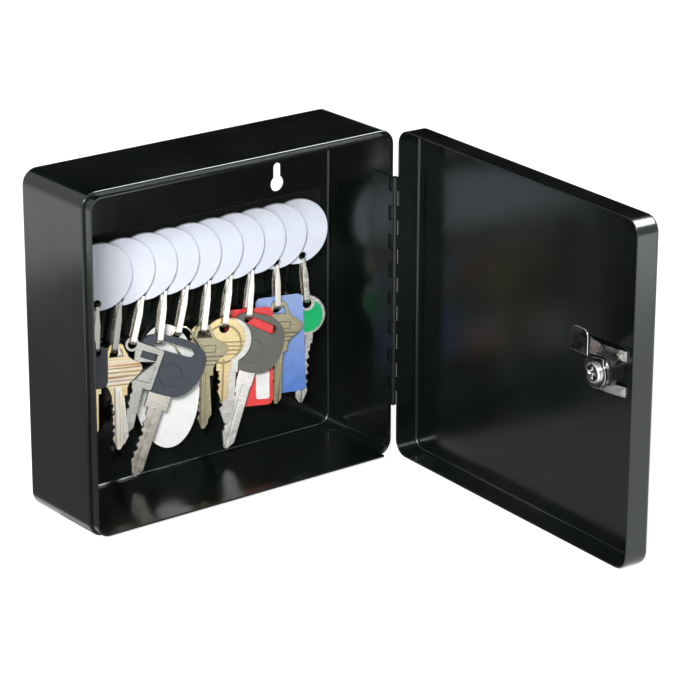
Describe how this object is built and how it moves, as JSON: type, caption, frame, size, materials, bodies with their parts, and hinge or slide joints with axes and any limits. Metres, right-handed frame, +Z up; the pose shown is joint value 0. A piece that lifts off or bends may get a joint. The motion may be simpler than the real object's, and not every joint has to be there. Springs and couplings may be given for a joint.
{
  "type": "key and cash box",
  "caption": "Wall-mounted black steel key box with its hinged, lockable door open, a rack of overlapping round tags inside and keys hanging from them on clips.",
  "frame": {"origin": "centre of the case's flat back face, on the wall plane", "axes": "+X to the right seen from the front, +Y toward the wall (the box opens toward -Y), +Z up"},
  "size_m": [0.1979, 0.2367, 0.171],
  "materials": {
    "case_enamel": "satin black enamel",
    "door_enamel": "satin black enamel",
    "hinge_steel": "satin black enamel over steel",
    "lock_black": "black plated die casting",
    "lock_chrome": "polished",
    "cam_steel": "dark plated",
    "screw_zinc": "bright plated",
    "clip_nickel": "bright nickel",
    "loop_felt": "black looped pile",
    "tag_white": "bluish white, satin",
    "head_dark": "dark grey",
    "head_slate": "slate grey",
    "head_grey": "mid grey",
    "brass_blade": "worn",
    "brass_key": "worn, lightly brushed",
    "silver_key": "nickel silver, worn",
    "steel_key": "satin steel",
    "nickel_key": "yellowish nickel, worn",
    "fob_white": "white, satin",
    "ring_wire": "pale nickel wire",
    "card_red": "red card, satin",
    "card_blue": "blue card, satin",
    "cap_green": "green, satin"
  },
  "bodies": {
    "case": {"case_pan": "case_enamel", "hinge_case_leaf": "hinge_steel", "hinge_pin": "hinge_steel", "strike": "case_enamel", "loop_strip": "loop_felt", "hook_dots": "loop_felt", "tag_01": "tag_white", "tag_02": "tag_white", "tag_03": "tag_white", "tag_04": "tag_white", "tag_05": "tag_white", "tag_06": "tag_white", "tag_07": "tag_white", "tag_08": "tag_white", "tag_09": "tag_white", "tag_10": "tag_white"},
    "door": {"door_pan": "door_enamel", "hinge_door_leaf": "hinge_steel", "lock_body": "lock_black", "lock_clip": "clip_nickel"},
    "plug": {"lock_plug": "lock_chrome", "lock_washer": "clip_nickel", "lock_cam": "cam_steel", "cam_screw": "screw_zinc"},
    "set_01": {"clip_01": "clip_nickel", "key_01_head": "head_dark", "key_01_blade": "brass_blade"},
    "set_02": {"clip_02": "clip_nickel", "key_02_front": "brass_key", "key_02_back": "silver_key"},
    "set_03": {"clip_03": "clip_nickel", "key_03": "steel_key"},
    "set_04": {"clip_04": "clip_nickel", "key_04_head": "head_slate", "key_04_blade": "silver_key"},
    "set_05": {"clip_05": "clip_nickel", "fob": "fob_white", "fob_ring": "ring_wire"},
    "set_06": {"clip_06": "clip_nickel", "key_06_front": "nickel_key", "key_06_back": "silver_key"},
    "set_07": {"clip_07": "clip_nickel", "key_07_front": "brass_key", "key_07_back": "silver_key"},
    "set_08": {"clip_08": "clip_nickel", "key_08_head": "head_grey", "key_08_blade": "silver_key", "card_red": "card_red"},
    "set_09": {"clip_09": "clip_nickel", "key_09": "nickel_key", "card_blue": "card_blue"},
    "set_10": {"clip_10": "clip_nickel", "key_10": "silver_key", "key_10_cap": "cap_green"}
  },
  "joints": [
    {"name": "door_hinge", "type": "hinge", "parent": "case", "child": "door", "pos_m": [0.0911, -0.0537, 0], "axis": [0, 0, 1], "range_deg": [-87, 60]},
    {"name": "lock_turn", "type": "hinge", "parent": "door", "child": "plug", "pos_m": [0.08898, -0.2069, 0.0045], "axis": [0.9986, -0.0523, 0], "range_deg": [0, 90]},
    {"name": "sway_01", "type": "hinge", "parent": "case", "child": "set_01", "pos_m": [-0.05507, -0.0068, 0.0111], "axis": [-1, 0, 0], "range_deg": [0, 8]},
    {"name": "sway_02", "type": "hinge", "parent": "case", "child": "set_02", "pos_m": [-0.04187, -0.0068, 0.0111], "axis": [-1, 0, 0], "range_deg": [0, 8]},
    {"name": "sway_03", "type": "hinge", "parent": "case", "child": "set_03", "pos_m": [-0.02867, -0.0068, 0.0111], "axis": [-1, 0, 0], "range_deg": [0, 8]},
    {"name": "sway_04", "type": "hinge", "parent": "case", "child": "set_04", "pos_m": [-0.01547, -0.0068, 0.0111], "axis": [-1, 0, 0], "range_deg": [0, 8]},
    {"name": "sway_05", "type": "hinge", "parent": "case", "child": "set_05", "pos_m": [-0.00227, -0.0068, 0.0111], "axis": [-1, 0, 0], "range_deg": [0, 8]},
    {"name": "sway_06", "type": "hinge", "parent": "case", "child": "set_06", "pos_m": [0.01093, -0.0068, 0.0111], "axis": [-1, 0, 0], "range_deg": [0, 8]},
    {"name": "sway_07", "type": "hinge", "parent": "case", "child": "set_07", "pos_m": [0.02413, -0.0068, 0.0111], "axis": [-1, 0, 0], "range_deg": [0, 8]},
    {"name": "sway_08", "type": "hinge", "parent": "case", "child": "set_08", "pos_m": [0.03733, -0.0068, 0.0111], "axis": [-1, 0, 0], "range_deg": [0, 8]},
    {"name": "sway_09", "type": "hinge", "parent": "case", "child": "set_09", "pos_m": [0.0525, -0.0068, 0.0111], "axis": [-1, 0, 0], "range_deg": [0, 8]},
    {"name": "sway_10", "type": "hinge", "parent": "case", "child": "set_10", "pos_m": [0.06865, -0.0068, 0.0111], "axis": [-1, 0, 0], "range_deg": [0, 8]}
  ],
  "couplings": [
    {"joint": "sway_01", "follows": "sway_07", "ratio": 1},
    {"joint": "sway_02", "follows": "sway_07", "ratio": 1},
    {"joint": "sway_03", "follows": "sway_07", "ratio": 1},
    {"joint": "sway_04", "follows": "sway_07", "ratio": 1},
    {"joint": "sway_05", "follows": "sway_07", "ratio": 1},
    {"joint": "sway_06", "follows": "sway_07", "ratio": 1},
    {"joint": "sway_08", "follows": "sway_07", "ratio": 1},
    {"joint": "sway_09", "follows": "sway_07", "ratio": 1},
    {"joint": "sway_10", "follows": "sway_07", "ratio": 1}
  ]
}
